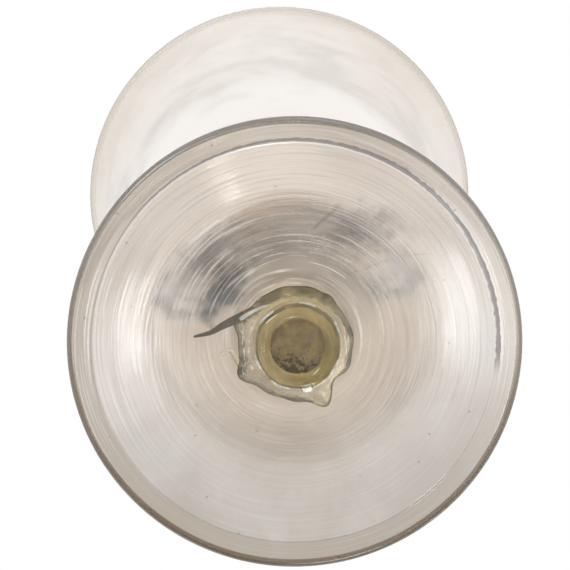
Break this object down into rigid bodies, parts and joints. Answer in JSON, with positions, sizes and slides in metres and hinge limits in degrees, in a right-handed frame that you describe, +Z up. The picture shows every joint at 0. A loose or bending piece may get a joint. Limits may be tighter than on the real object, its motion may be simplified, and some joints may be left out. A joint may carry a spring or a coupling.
{
  "type": "winged goblet",
  "caption": "Tall stemmed glass goblet: folded foot with pontil scar, collars and knops, a figure-of-eight stem with pincered wings, and a round funnel bowl.",
  "frame": {"origin": "centre of the foot's resting ring, on the surface that the goblet stands on", "axes": "+Z up along the goblet's axis, +X towards the right wing, +Y to the back"},
  "size_m": [0.088, 0.088, 0.23],
  "materials": {
    "foot_glass": "colourless with a faint smoky tint, concentric tool marks and scuffs on the underside",
    "stem_glass": "colourless with a faint smoky tint, fire-polished",
    "wing_glass": "faintly blue-grey, fire-polished, pincered",
    "bowl_glass": "thin, colourless with a faint smoky tint and a slight haze",
    "pontil_glass": "yellow-green, broken and rough, with brown grains in its sunken middle"
  },
  "bodies": {
    "root": {"foot": "foot_glass", "pontil_scar": "pontil_glass", "foot_merese": "stem_glass", "lower_knop": "stem_glass", "knop_merese": "stem_glass", "stem_loop": "stem_glass", "wing_scroll_left": "wing_glass", "wing_scroll_right": "wing_glass", "wing_crest_left": "wing_glass", "wing_crest_right": "wing_glass", "loop_merese": "stem_glass", "upper_knop": "stem_glass", "bowl_merese": "stem_glass", "bowl": "bowl_glass"}
  },
  "joints": []
}
